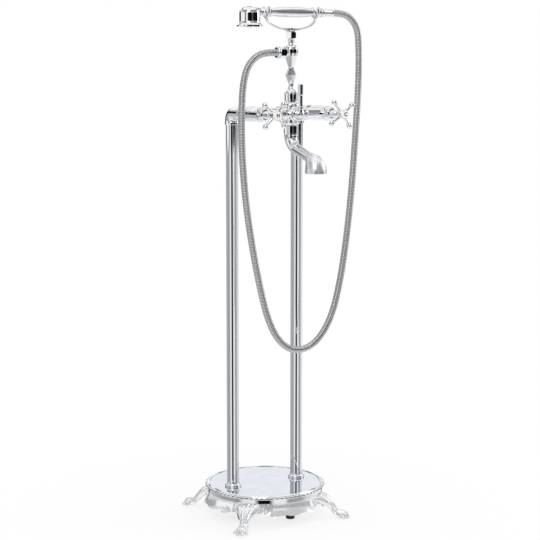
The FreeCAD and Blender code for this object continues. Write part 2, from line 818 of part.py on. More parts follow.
# ---- spout -------------------------------------------------------------------------------------------------
def spout_collar():
    """Fixed collar screwed on the hub's lower nipple; the spout's tail turns inside it."""
    nipple = riser_nut_radius - 2.8 + thread_gap
    tail = spout_tail_radius + running_gap
    return turned([
        (nipple, 0), (spout_collar_radius - 0.5, 0), (spout_collar_radius, 0.5),
        (spout_collar_radius, spout_collar_height - 0.5),
        (spout_collar_radius - 0.5, spout_collar_height), (tail, spout_collar_height),
        (tail, 8.6), (nipple, 8.6)],
        V(0, -crossbar_reach, hub_bottom), DOWN)


def spout_section(y, z, angle, radius):
    """Round section of the spout: reach, height, tilt of its plane and radius."""
    wire = circle_wire(radius, V(0, 0, 0), UP)
    wire.rotate(V(0, 0, 0), RIGHT, -math.degrees(angle))
    wire.translate(V(0, -crossbar_reach - y, z))
    return wire


def spout_path():
    """Stations of the spout's bend and of its bell: reach, height and tilt of each."""
    turn = math.radians(spout_tilt)
    fall = 1 - math.cos(turn)
    top = hub_bottom - spout_collar_height - seat_gap - spout_head
    over = spout_reach - spout_bend * fall
    down = top - spout_mouth_height - spout_bend * math.sin(turn)
    radius = (down * math.sin(turn) - over * math.cos(turn)) / fall
    bend = []
    bell = []
    for k in range(spout_stations + 1):
        angle = turn * k / spout_stations
        bend.append((spout_bend * (1 - math.cos(angle)), top - spout_bend * math.sin(angle), angle))
        bell.append((spout_reach - radius * (1 - math.cos(angle)),
                     spout_mouth_height + radius * math.sin(angle), angle))
    bell.reverse()
    return bend, bell


def spout_run(tube, neck, mouth):
    """Bend, straight neck and flared bell through round sections of the given radii."""
    bend, bell = spout_path()
    upper = []
    for k, (y, z, angle) in enumerate(bend):
        upper.append(spout_section(y, z, angle, tube + (neck - tube) * k / spout_stations))
    lower = []
    for k, (y, z, angle) in enumerate(bell):
        share = (1 - k / spout_stations) ** spout_flare
        lower.append(spout_section(y, z, angle, mouth + (neck - mouth) * share))
    return [lofted(upper), lofted([upper[-1], lower[0]], ruled=True), lofted(lower)]


def spout():
    """Swan spout: upright tail, soft bend, straight neck and a bell over a round mouth."""
    top = hub_bottom - spout_collar_height - seat_gap
    axis_foot = V(0, -crossbar_reach, 0)
    head = turned([
        (0, 0), (spout_tube_radius - 0.6, 0), (spout_tube_radius, 0.6),
        (spout_tube_radius, spout_head), (0, spout_head)], axis_foot + UP * top, DOWN)
    tail = rod(spout_tail_radius, axis_foot + UP * (top - 1), axis_foot + UP * (top + 6.6))
    way = rod(spout_tail_radius - spout_wall, axis_foot + UP * (top - spout_head - 3),
              axis_foot + UP * (top + 8))
    mouth = axis_foot + FRONT * spout_reach
    seat = rod(spout_seat_radius, mouth + UP * (spout_mouth_height - 1),
               mouth + UP * (aerator_base + 4))
    water = spout_neck_radius - spout_wall
    solid = fused([head, tail] + spout_run(spout_tube_radius, spout_neck_radius,
                                           spout_mouth_radius))
    for inner in [seat] + spout_run(water, water, spout_seat_radius - 1.8) + [way]:
        solid = solid.cut(inner)
    return solid.removeSplitter()


def spout_seal():
    """Rubber ring in the collar above the spout's tail."""
    height = hub_bottom - spout_collar_height + 6.5
    ring = Part.makeTorus(spout_tail_radius - oring_section, oring_section - 0.15,
                          V(0, -crossbar_reach, height + oring_section - 0.15 - 0.2))
    return ring


def aerator():
    """Flow straightener in the bell: two rings joined by crossed webs."""
    low = V(0, -crossbar_reach - spout_reach, aerator_base)
    outer = spout_seat_radius - running_gap
    ring = turned([
        (aerator_radius - 2, 0), (aerator_radius, 0), (aerator_radius, aerator_height),
        (aerator_radius - 2, aerator_height)], low)
    rim = turned([
        (outer - 1.4, 0), (outer, 0), (outer, 3.2), (outer - 1.4, 3.2)], low)
    webs = []
    for turn in (0, 90):
        web = Part.makeBox(outer * 2 - 1, 2.0, 2.2, V(-outer + 0.5, -1.0, 0))
        web.rotate(V(0, 0, 0), UP, turn)
        web.translate(low + UP * 0.5)
        webs.append(web)
    return fused([ring, rim] + webs)


# ---- riser --------------------------------------------------------------------------------------------------
def riser_nut():
    nipple = riser_nut_radius - 2.8 + thread_gap
    deep = riser_nut_height * 0.5 + 0.6 - 1.5
    return turned([
        (nipple, 0), (riser_nut_radius - 0.8, 0), (riser_nut_radius, 0.8),
        (riser_nut_radius, riser_nut_height - 2.2), (riser_nut_radius + 0.7, riser_nut_height - 1.4),
        (riser_nut_radius + 0.7, riser_nut_height - 0.4),
        (riser_nut_radius - 0.2, riser_nut_height), (7.0 + thread_gap, riser_nut_height),
        (7.0 + thread_gap, deep), (nipple, deep)], V(0, -crossbar_reach, hub_top + 1.5), UP)


def faceted(levels):
    """Eight-sided solid through (height, radius across corners) levels with flat facets."""
    wires = []
    for height, radius in levels:
        across = 2 * radius * math.cos(math.pi / riser_facets)
        wires.append(polygon(across, riser_facets, V(0, -crossbar_reach, riser_base + height),
                             180.0 / riser_facets))
    return lofted(wires, ruled=True)


def riser_column():
    """Baluster riser: flare, neck, cut diamond, waist, pear body and a beaded neck."""
    flare = turned([
        (0, -6.8), (7.0, -6.8), (7.0, 0), (riser_nut_radius - 0.5, 0), (riser_flare_radius, 1.2),
        (riser_neck_radius, 14.0, riser_neck_radius + 2.6, 6.2), (riser_neck_radius, 18.0),
        (0, 18.0)], V(0, -crossbar_reach, riser_base))
    diamond = faceted([(16.0, riser_neck_radius), (35.0, riser_diamond_radius + 0.3),
                       (48.0, riser_waist_radius)])
    waist = turned([
        (0, 44.0), (riser_waist_radius * 0.85, 44.0), (riser_waist_radius * 0.85, 52.0),
        (0, 52.0)], V(0, -crossbar_reach, riser_base))
    cone = faceted([(46.0, riser_waist_radius - 0.5), (50.0, riser_waist_radius),
                    (75.0, riser_body_radius)])
    dome = turned([
        (0, 72.0), (riser_body_radius - 1.0, 72.0), (riser_body_radius, 77.0),
        (riser_body_radius, 83.0),
        (riser_top_radius + 1.0, 93.5, riser_body_radius - 2.4, 90.0), (riser_top_radius, 96.0),
        (riser_top_radius + 1.2, 98.0), (riser_top_radius + 1.2, 99.2), (riser_top_radius, 100.4),
        (riser_top_radius, 101.4), (riser_top_radius + 0.6, 104.0, riser_top_radius + 0.9, 102.6),
        (riser_top_radius - 0.6, 105.5), (0, 105.5)], V(0, -crossbar_reach, riser_base))
    stud = rod(cradle_stem_radius - 1.5, V(0, -crossbar_reach, riser_base + 105),
               V(0, -crossbar_reach, cradle_nut_base + 6))
    centre = V(0, -crossbar_reach, outlet_z)
    boss = turned([
        (0, 0), (outlet_boss_radius, 0), (outlet_boss_radius, outlet_reach - 1.0),
        (outlet_boss_radius + 1.0, outlet_reach), (0, outlet_reach)], centre, LEFT)
    nipple = rod(outlet_boss_radius - 1.2, centre, centre + LEFT * (outlet_reach + 8))
    solid = fused([flare, diamond, waist, cone, dome, stud, boss, nipple])
    water = [
        rod(3.0, V(0, -crossbar_reach, riser_base - 8), centre),
        rod(outlet_bore, centre + RIGHT * 3, centre + LEFT * 40)]
    return solid.cut(water).removeSplitter()


def hose_outlet_nut():
    """Hexagon swivel nut of the hose, with a rounded collar where the hose leaves it."""
    start = V(-outlet_reach - seat_gap, -crossbar_reach, outlet_z)
    hex_length = hose_nut_length - 6.0
    bore = outlet_boss_radius - 1.2 + thread_gap
    body = hex_nut(hose_nut_across, hex_length, bore, start, LEFT)
    ring = turned([
        (hose_bore, hex_length - 2.5), (hose_nut_ring - 3.5, hex_length - 2.5),
        (hose_nut_ring - 1.0, hex_length), (hose_nut_ring, hex_length + 1.2),
        (hose_nut_ring - 1.6, hose_nut_length, hose_nut_ring - 0.1, hose_nut_length - 1.8),
        (hose_bore, hose_nut_length)], start, LEFT)
    return body.fuse(ring).removeSplitter()


# ---- cradle -----------------------------------------------------------------------------------------------
def cradle_nut():
    return hex_nut(cradle_nut_across, cradle_nut_height, cradle_stem_radius - 1.5 + thread_gap,
                   V(0, -crossbar_reach, cradle_nut_base), UP, crown=0.16)


def bar_section(angle, wide, thick):
    """Oval section of the bow at an angle of its half oval, 0 at the right end."""
    turn = math.radians(angle)
    depth = handset_height - fork_radius() - cradle_bow_bottom
    x = cradle_half_span * math.cos(turn)
    z = handset_height - fork_radius() + 1.0 + (depth - cradle_bar_thick / 2) * math.sin(turn)
    way = V(-cradle_half_span * math.sin(turn), 0, depth * math.cos(turn))
    flat = Part.Ellipse(V(0, 0, 0), wide / 2, thick / 2).toShape()
    wire = Part.Wire(flat)
    wire.rotate(V(0, 0, 0), UP, 90)
    spin = FreeCAD.Rotation(RIGHT, UP, way, "ZXY")
    wire.Placement = FreeCAD.Placement(V(x, -crossbar_reach, z), spin).multiply(wire.Placement)
    return wire


def fork_radius():
    return fork_seat_radius + seat_gap + fork_bar_radius


def fork(x):
    """Half ring across the handle, open at the top, with ball tips."""
    centre = V(x, -crossbar_reach, handset_height)
    start = Part.Face(circle_wire(fork_bar_radius, centre + FRONT * fork_radius(), UP))
    parts = [start.revolve(centre, RIGHT, 180)]
    for side in (-1, 1):
        foot = centre + V(0, side * fork_radius(), 0)
        parts.append(rod(fork_bar_radius, foot, foot + UP * fork_rise))
        tip = foot + V(0, side * fork_tip_spread, fork_rise + 1.5)
        parts.append(Part.makeSphere(fork_tip_radius, tip))
    return parts


def cradle_yoke():
    """Bow with a fork at each end, on a foot that the cradle nut clamps to the riser."""
    angles = (180, 202, 224, 247, 270, 293, 316, 338, 360)
    bow = lofted([bar_section(angle, cradle_bar_wide, cradle_bar_thick) for angle in angles])
    low = cradle_nut_base + cradle_nut_height
    foot = turned([
        (0, 0), (cradle_stem_radius + 2.2, 0), (cradle_stem_radius + 2.2, 1.2),
        (cradle_stem_radius - 0.6, 3.6, cradle_stem_radius + 0.2, 1.8),
        (cradle_stem_radius - 0.6, 5.2), (0, 5.2)], V(0, -crossbar_reach, low))
    return fused([bow, foot] + fork(-cradle_half_span) + fork(cradle_half_span))


# ---- hand shower ------------------------------------------------------------------------------------------
def grip_axis(x):
    return V(x, -crossbar_reach, handset_height)


def handset_handle():
    """Spindle-shaped grip with a ring at each end; a water tube runs through it."""
    length = grip_right - grip_left
    middle = length * 0.52
    ring = collar_ring_width
    left_ring = -cradle_half_span - grip_left + fork_tip_radius + 1.5
    right_ring = cradle_half_span - grip_left - fork_tip_radius - 1.5 - ring
    return turned([
        (handset_tail_radius - 1.5, 0), (grip_left_radius - 1.6, 0),
        (fork_seat_radius, 1.4), (fork_seat_radius, left_ring - 0.6),
        (collar_ring_radius, left_ring, collar_ring_radius - 0.8, left_ring - 0.5),
        (collar_ring_radius, left_ring + ring), (grip_left_radius - 0.6, left_ring + ring + 0.6),
        (grip_mid_radius, middle, grip_mid_radius - 0.5, length * 0.33),
        (grip_right_radius + 0.3, right_ring - 0.6, grip_mid_radius - 0.8, length * 0.7),
        (collar_ring_radius - 0.8, right_ring), (collar_ring_radius - 0.8, right_ring + ring),
        (fork_seat_radius, right_ring + ring + 0.6), (fork_seat_radius, length - 1.4),
        (grip_right_radius - 1.4, length), (handset_tail_radius - 1.5, length)],
        grip_axis(grip_left), RIGHT)


def handset_head():
    """Bell-shaped rose: domed top, straight side, flared rim and a side neck to the grip."""
    base = V(head_centre, -crossbar_reach, 0)
    low = head_rim_height
    ledge = low + spray_plate_set + spray_plate_thickness + running_gap
    straight = head_top - 13.0
    shoulder = head_radius * 0.66
    shell = turned([
        (0, head_top - head_wall), (0, head_top),
        (shoulder, head_top - 2.6, *cap(shoulder, head_top - 2.6, head_top)),
        (head_radius, straight, head_radius - 2.6, head_top - 6.2),
        (head_radius, low + 12), (head_rim_radius, low + 2.6, head_radius + 1.3, low + 6.2),
        (head_rim_radius, low), (head_rim_radius - head_wall, low),
        (head_rim_radius - head_wall, ledge),
        (head_radius - head_wall, low + 9.5, head_radius - head_wall + 1.0, low + 5.9),
        (head_radius - head_wall, straight),
        (0, head_top - head_wall, *cap(head_radius - head_wall, straight, head_top - head_wall))],
        base)
    near = head_centre + head_radius - head_wall * 0.5
    neck = turned([
        (handset_tail_radius - 1.5, 0), (neck_radius + 1.6, 0), (neck_radius + 1.2, 2.0),
        (neck_radius - 0.6, 4.2, neck_radius, 2.6),
        (grip_left_radius - 1.0, grip_left - near - 1.2), (grip_left_radius - 1.0, grip_left - near),
        (handset_tail_radius - 1.5, grip_left - near)], grip_axis(near), RIGHT)
    hollow = turned([
        (0, low - 1), (head_radius - head_wall, low - 1), (head_radius - head_wall, straight),
        (0, straight)], base)
    water = rod(handset_tail_radius - 1.5, grip_axis(head_centre), grip_axis(grip_left + 1))
    return shell.fuse(neck).cut(hollow.fuse(water)).removeSplitter()


def spray_plate():
    """Perforated face of the rose, set just inside its rim."""
    outer = head_rim_radius - head_wall - running_gap
    low = head_rim_height + spray_plate_set
    plate = turned([
        (0, 0), (outer, 0), (outer, spray_plate_thickness), (0, spray_plate_thickness)],
        V(head_centre, -crossbar_reach, low))
    holes = []
    for ring, count in ((9.5, 8), (15.5, 14)):
        for k in range(count):
            angle = 2 * math.pi * k / count
            spot = V(head_centre + ring * math.cos(angle), -crossbar_reach + ring * math.sin(angle),
                     low - 1)
            holes.append(Part.makeCylinder(0.8, spray_plate_thickness + 2, spot))
    holes.append(Part.makeCylinder(2.0 + thread_gap, spray_plate_thickness + 2,
                                   V(head_centre, -crossbar_reach, low - 1)))
    return plate.cut(holes)


def spray_screw():
    """Domed screw in the middle of the rose's face."""
    low = head_rim_height + spray_plate_set
    return turned([
        (0, -spray_nub_drop),
        (spray_nub_radius, -0.8, *cap(spray_nub_radius, -0.8, -spray_nub_drop)),
        (spray_nub_radius, 0), (2.0, 0), (2.0, spray_plate_thickness + 4),
        (0, spray_plate_thickness + 4)], V(head_centre, -crossbar_reach, low))


def handset_tail():
    """Screwed tail at the end of the grip that the hose's cone nut takes."""
    start = grip_right - 10
    return turned([
        (2.4, 0), (handset_tail_radius - 1.5 - running_gap, 0),
        (handset_tail_radius - 1.5 - running_gap, 10), (handset_tail_radius, 10),
        (handset_tail_radius, 20), (2.4, 20)], grip_axis(start), RIGHT)


def hose_cone_nut():
    """Ribbed cone nut of the hose at the grip's tail."""
    start = grip_right + seat_gap
    pitch = (cone_nut_length - 9.0) / cone_nut_ribs
    outline = [(handset_tail_radius + thread_gap, 0), (cone_nut_big - 0.6, 0), (cone_nut_big, 0.8)]
    for k in range(cone_nut_ribs):
        at = 4.0 + pitch * k
        fall = (cone_nut_big - cone_nut_small) * at / cone_nut_length
        outline.append((cone_nut_big - fall, at))
        outline.append((cone_nut_big - fall - 0.9, at + pitch * 0.3))
        outline.append((cone_nut_big - fall - 0.9, at + pitch * 0.6))
    outline += [(cone_nut_small + 0.4, cone_nut_length - 4.5), (cone_nut_small, cone_nut_length),
                (hose_bore, cone_nut_length), (hose_bore, 11),
                (handset_tail_radius + thread_gap, 11)]
    return turned(outline, grip_axis(start), RIGHT)


# ---- hose ---------------------------------------------------------------------------------------------------
hose_start_x = -outlet_reach - seat_gap - hose_nut_length
hose_end_x = grip_right + seat_gap + cone_nut_length
hose_points = [
    (hose_start_x, outlet_z), (-59.0, outlet_z), (-80.0, 945.5), (-97.0, 926.5), (-105.3, 899.0),
    (-109.0, 862.0), (-110.3, 805.0), (-108.0, 740.0), (-100.0, 655.0), (-84.0, 560.0),
    (-66.0, 478.0), (-50.0, 424.0), (-28.0, 384.0), (2.0, 361.5), (40.0, 362.5), (72.0, 385.5),
    (98.0, 430.0), (116.5, 500.0), (131.0, 590.0), (142.0, 690.0), (149.0, 785.0),
    (154.5, 872.0), (156.3, 925.0), (155.6, 960.0), (153.5, 996.8), (140.6, 1018.9),
    (118.5, handset_height), (hose_end_x, handset_height)]


def hose():
    """Metal shower hose: straight runs joined by tangent arcs, with its bore."""
    points = [V(x, -crossbar_reach, z) for x, z in hose_points]
    edges = []
    length = 0.0
    last = points[0]
    for k in range(1, len(points) - 1):
        before = points[k] - points[k - 1]
        after = points[k + 1] - points[k]
        turn = before.getAngle(after)
        cut = 0.45 * min(before.Length, after.Length)
        radius = cut / math.tan(turn / 2)
        print("hose bend %2d: turn %5.1f deg, radius %6.1f mm" % (k, math.degrees(turn), radius))
        into = V(before)
        into.normalize()
        out = V(after)
        out.normalize()
        first = points[k] - into * cut
        final = points[k] + out * cut
        inward = out - into
        inward.normalize()
        middle = points[k] + inward * (radius / math.cos(turn / 2) - radius)
        edges.append(Part.LineSegment(last, first).toShape())
        edges.append(Part.Arc(first, middle, final).toShape())
        length += (first - last).Length + radius * turn
        last = final
    edges.append(Part.LineSegment(last, points[-1]).toShape())
    length += (points[-1] - last).Length
    path = Part.Wire(edges)
    way = points[1] - points[0]
    rings = [circle_wire(radius, points[0], way) for radius in (hose_radius, hose_bore)]
    tube = path.makePipeShell([rings[0]], True, False)
    core = path.makePipeShell([rings[1]], True, False)
    solid = tube.cut(core)
    expected = math.pi * (hose_radius ** 2 - hose_bore ** 2) * length
    print("hose length %.0f mm, volume / section x length %.4f" % (length, solid.Volume / expected))
    return solid


# ---- build and export -------------------------------------------------------------------------------
export(base_casting(), "base_casting")
export(base_plate(), "base_plate")
export(rim_ring(), "rim_ring")
export(levelling_studs(), "levelling_studs")
export(rubber_feet(), "rubber_feet")
export(pipe_collars(), "pipe_collars")
export(lock_washers(), "lock_washers")
export(lock_nuts(), "lock_nuts")
for side_name, side_x in sides:
    export(standpipe(side_x), "standpipe_" + side_name)
    export(elbow(side_x), "elbow_" + side_name)
export(union_nuts(), "union_nuts")
export(union_washers(), "union_washers")
export(mixer_body(), "mixer_body")
for tap_name, tap_x, tap_turn in taps:
    export(cartridge(tap_x), "cartridge_" + tap_name)
    export(bonnet(tap_x), "bonnet_" + tap_name)
    export(spindle(tap_x), "spindle_" + tap_name)
    export(handle_cross(tap_x, tap_turn), "handle_" + tap_name)
    export(handle_screw(tap_x), "handle_screw_" + tap_name)
    export(index_button(tap_x), "index_button_" + tap_name)
export(diverter_cap(), "diverter_cap")
export(diverter_valve(), "diverter_valve")
export(diverter_lever(), "diverter_lever")
export(spout_collar(), "spout_collar")
export(spout(), "spout")
export(spout_seal(), "spout_seal")
export(aerator(), "aerator")
export(riser_nut(), "riser_nut")
export(riser_column(), "riser_column")
export(hose_outlet_nut(), "hose_outlet_nut")
export(cradle_nut(), "cradle_nut")
export(cradle_yoke(), "cradle_yoke")
export(handset_handle(), "handset_handle")
export(handset_head(), "handset_head")
export(spray_plate(), "spray_plate")
export(spray_screw(), "spray_screw")
export(handset_tail(), "handset_tail")
export(hose_cone_nut(), "hose_cone_nut")
export(hose(), "shower_hose")
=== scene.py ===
import bpy
import bmesh
import math
from mathutils import Matrix, Vector


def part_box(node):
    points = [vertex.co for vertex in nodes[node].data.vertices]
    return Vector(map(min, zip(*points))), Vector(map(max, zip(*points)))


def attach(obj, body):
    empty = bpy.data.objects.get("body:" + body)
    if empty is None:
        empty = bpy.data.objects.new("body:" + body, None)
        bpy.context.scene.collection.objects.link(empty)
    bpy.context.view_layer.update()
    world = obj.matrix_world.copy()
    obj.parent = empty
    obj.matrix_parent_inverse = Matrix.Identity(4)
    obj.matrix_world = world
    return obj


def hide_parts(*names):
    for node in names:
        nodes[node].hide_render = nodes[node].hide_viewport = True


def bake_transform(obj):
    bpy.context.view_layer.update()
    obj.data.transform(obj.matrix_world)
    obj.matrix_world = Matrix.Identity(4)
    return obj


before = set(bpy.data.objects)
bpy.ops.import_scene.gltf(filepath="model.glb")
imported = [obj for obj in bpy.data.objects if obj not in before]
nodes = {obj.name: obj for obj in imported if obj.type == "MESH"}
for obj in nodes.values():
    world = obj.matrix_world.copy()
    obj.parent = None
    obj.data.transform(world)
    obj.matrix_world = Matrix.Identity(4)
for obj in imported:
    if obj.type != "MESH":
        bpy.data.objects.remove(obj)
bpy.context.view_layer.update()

# The mixer's crossbar lies this far in front of the pipes and this high above the floor, in metres.
# The hose hangs in the same upright plane.
MIXER_Y = -0.108
MIXER_Z = 0.835


# ---- camera --------------------------------------------------------------------------------------
def make_camera():
    """The photograph's place and lens."""
    data = bpy.data.cameras.new("camera")
    data.lens = 101.917
    data.sensor_width = 36.0
    data.clip_start = 0.1
    data.clip_end = 60.0
    camera = bpy.data.objects.new("camera", data)
    bpy.context.collection.objects.link(camera)
    camera.location = (-1.49024, -2.73137, 0.94381)
    camera.rotation_euler = (math.radians(90 - 7.901), 0.0, math.radians(-28.814))
    bpy.context.scene.camera = camera


make_camera()


# ---- shared helpers ------------------------------------------------------------------------------
def linear(colour):
    """Linear RGBA of an sRGB hex colour."""
    parts = [int(colour[k:k + 2], 16) / 255 for k in (1, 3, 5)]
    return [c / 12.92 if c <= 0.04045 else ((c + 0.055) / 1.055) ** 2.4 for c in parts] + [1.0]


def cell_scale(size):
    """Scale of a noise or cell pattern whose grains are this many millimetres across."""
    return 1000 / size


def ring_scale(spacing):
    """Scale of a wave pattern whose crests are this many millimetres apart."""
    return 1000 * (2 * math.pi / 20) / spacing


def add(tree, kind, sockets=None, links=None, **settings):
    """Add one node with its settings, socket values and links (socket: (node, output))."""
    made = tree.nodes.new(kind)
    for name, value in settings.items():
        setattr(made, name, value)
    for name, value in (sockets or {}).items():
        made.inputs[name].default_value = value
    for name, (source, output) in (links or {}).items():
        tree.links.new(source.outputs[output], made.inputs[name])
    return made


def set_ramp(ramp, stops):
    """Give a Color Ramp node its (place, colour) stops."""
    band = ramp.color_ramp
    while len(band.elements) > 1:
        band.elements.remove(band.elements[-1])
    band.elements[0].position = stops[0][0]
    band.elements[0].color = linear(stops[0][1])
    for place, colour in stops[1:]:
        band.elements.new(place).color = linear(colour)


def new_material(name):
    """An empty material and its node tree."""
    material = bpy.data.materials.new(name)
    material.use_nodes = True
    tree = material.node_tree
    tree.nodes.clear()
    return material, tree


def new_object(name, mesh, material, body):
    """A new piece of one material, which rides on its body if it is given one."""
    made = bpy.data.objects.new(name, mesh)
    bpy.context.collection.objects.link(made)
    mesh.materials.clear()
    mesh.materials.append(material)
    if body:
        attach(made, body)
    return made


def smooth(mesh):
    """Shade every face as part of a round surface."""
    for face in mesh.polygons:
        face.use_smooth = True


# ---- materials -----------------------------------------------------------------------------------
# Pattern sizes are in millimetres, and the distances of the bumps in metres.


def polished_chrome():
    """Bright chrome plate over buffed brass: a clear mirror that is a little uneven to the eye.
    Faint wipe marks about 4 mm across dull it in places, and the buffing left waves of 12 mm."""
    material, tree = new_material("chrome_plate")
    place = add(tree, "ShaderNodeTexCoord")
    marks = add(tree, "ShaderNodeTexNoise",
                {"Scale": cell_scale(3.85), "Detail": 4.0, "Roughness": 0.6},
                {"Vector": (place, "Object")})
    rough = add(tree, "ShaderNodeMapRange", {"From Min": 0.35, "From Max": 0.75,
                                             "To Min": 0.02, "To Max": 0.06},
                {"Value": (marks, "Fac")})
    waves = add(tree, "ShaderNodeTexNoise", {"Scale": cell_scale(11.8), "Detail": 1.0},
                {"Vector": (place, "Object")})
    bump = add(tree, "ShaderNodeBump", {"Strength": 0.03, "Distance": 0.0003},
               {"Height": (waves, "Fac")})
    tint = add(tree, "ShaderNodeValToRGB", None, {"Fac": (marks, "Fac")})
    set_ramp(tint, [(0.3, "#E9EBEE"), (0.7, "#F4F5F6")])
    shader = add(tree, "ShaderNodeBsdfPrincipled", {"Metallic": 1.0},
                 {"Base Color": (tint, "Color"), "Roughness": (rough, "Result"),
                  "Normal": (bump, "Normal")})
    add(tree, "ShaderNodeOutputMaterial", links={"Surface": (shader, "BSDF")})
    return material


def leg_flutes(tree, place):
    """Height of the leaf flutes down the legs: about five across a leg, crowding to the ankle.
    The legs lie on the diagonals, so a place along one is |x| + |y| and one across it |x| - |y|.
    A flute is 2 pi times its pitch across: 17.6 mm so measured at the knee, 5.7 mm at the ankle."""
    knee = 0.158
    ankle = 0.212
    leaf_start = 0.15
    leaf_full = 0.17
    knee_pitch = 0.0028
    ankle_pitch = 0.0009
    flat = add(tree, "ShaderNodeVectorMath", None, {0: (place, "Object")}, operation="ABSOLUTE")
    parts = add(tree, "ShaderNodeSeparateXYZ", None, {0: (flat, "Vector")})
    along = add(tree, "ShaderNodeMath", None, {0: (parts, "X"), 1: (parts, "Y")}, operation="ADD")
    across = add(tree, "ShaderNodeMath", None, {0: (parts, "X"), 1: (parts, "Y")},
                 operation="SUBTRACT")
    pitch = add(tree, "ShaderNodeMapRange", {"From Min": knee, "From Max": ankle,
                                             "To Min": knee_pitch, "To Max": ankle_pitch},
                {"Value": (along, "Value")})
    turn = add(tree, "ShaderNodeMath", None, {0: (across, "Value"), 1: (pitch, "Result")},
               operation="DIVIDE")
    wave = add(tree, "ShaderNodeMath", None, {0: (turn, "Value")}, operation="COSINE")
    mask = add(tree, "ShaderNodeMapRange", {"From Min": leaf_start, "From Max": leaf_full},
               {"Value": (along, "Value")})
    return add(tree, "ShaderNodeMath", None, {0: (wave, "Value"), 1: (mask, "Result")},
               operation="MULTIPLY")


def cast_chrome():
    """Chrome over a cast and tumbled base: soft reflections, with leaf flutes down the legs.
    The real casting looks paler than full metal does, so the metal is set a little over half.
    Its fine pits are 1.5 mm apart, and the scrolls of the apron swell every 17 mm."""
    material, tree = new_material("cast_chrome")
    place = add(tree, "ShaderNodeTexCoord")
    pits = add(tree, "ShaderNodeTexNoise", {"Scale": cell_scale(1.54), "Detail": 3.0},
               {"Vector": (place, "Object")})
    swell = add(tree, "ShaderNodeTexNoise", {"Scale": cell_scale(16.7), "Detail": 2.0},
                {"Vector": (place, "Object")})
    rough = add(tree, "ShaderNodeMapRange", {"From Min": 0.3, "From Max": 0.8,
                                             "To Min": 0.12, "To Max": 0.24},
                {"Value": (swell, "Fac")})
    flutes = add(tree, "ShaderNodeBump", {"Strength": 0.8, "Distance": 0.0006},
                 {"Height": (leg_flutes(tree, place), "Value")})
    relief = add(tree, "ShaderNodeBump", {"Strength": 0.12, "Distance": 0.0008},
                 {"Height": (swell, "Fac"), "Normal": (flutes, "Normal")})
    bump = add(tree, "ShaderNodeBump", {"Strength": 0.06, "Distance": 0.0003},
               {"Height": (pits, "Fac"), "Normal": (relief, "Normal")})
    tint = add(tree, "ShaderNodeValToRGB", None, {"Fac": (swell, "Fac")})
    set_ramp(tint, [(0.3, "#EEF0F2"), (0.7, "#FBFBFC")])
    shader = add(tree, "ShaderNodeBsdfPrincipled", {"Metallic": 0.55},
                 {"Base Color": (tint, "Color"), "Roughness": (rough, "Result"),
                  "Normal": (bump, "Normal")})
    add(tree, "ShaderNodeOutputMaterial", links={"Surface": (shader, "BSDF")})
    return material


def limed_chrome():
    """Chrome of the spout: bright above, dulled by a thin film of lime round its mouth.
    The film starts 772 mm above the floor and is full at 750 mm, in spots of 5.5 mm."""
    film_start = 0.772
    film_full = 0.75
    material, tree = new_material("limed_chrome")
    place = add(tree, "ShaderNodeTexCoord")
    split = add(tree, "ShaderNodeSeparateXYZ", None, {0: (place, "Object")})
    film = add(tree, "ShaderNodeTexNoise", {"Scale": cell_scale(5.55), "Detail": 4.0},
               {"Vector": (place, "Object")})
    near = add(tree, "ShaderNodeMapRange", {"From Min": film_start, "From Max": film_full,
                                            "To Min": 0.04, "To Max": 0.34},
               {"Value": (split, "Z")})
    rough = add(tree, "ShaderNodeMath", {1: 0.06}, {0: (film, "Fac"), 2: (near, "Result")},
                operation="MULTIPLY_ADD")
    tint = add(tree, "ShaderNodeValToRGB", None, {"Fac": (film, "Fac")})
    set_ramp(tint, [(0.3, "#E9EBEE"), (0.7, "#F6F7F8")])
    shader = add(tree, "ShaderNodeBsdfPrincipled", {"Metallic": 1.0},
                 {"Base Color": (tint, "Color"), "Roughness": (rough, "Value")})
    add(tree, "ShaderNodeOutputMaterial", links={"Surface": (shader, "BSDF")})
    return material


def beaded_chrome():
    """Chrome of the beaded rim: painted shade, bright where the beads face up and darker on their
    sides and undersides.
    """
    material, tree = new_material("beaded_chrome")
    shape = add(tree, "ShaderNodeNewGeometry")
    facing = add(tree, "ShaderNodeSeparateXYZ", None, {0: (shape, "Normal")})
    # Painted shade: the colour goes by how far the surface faces upwards, lighter facing up and
    # darker facing sideways and down.
    tint = add(tree, "ShaderNodeValToRGB", None, {"Fac": (facing, "Z")})
    set_ramp(tint, [(0.0, "#77797C"), (0.3, "#CFD1D3"), (0.6, "#F8F9FA")])
    shader = add(tree, "ShaderNodeBsdfPrincipled", {"Metallic": 1.0, "Roughness": 0.14},
                 {"Base Color": (tint, "Color")})
    add(tree, "ShaderNodeOutputMaterial", links={"Surface": (shader, "BSDF")})
    return material


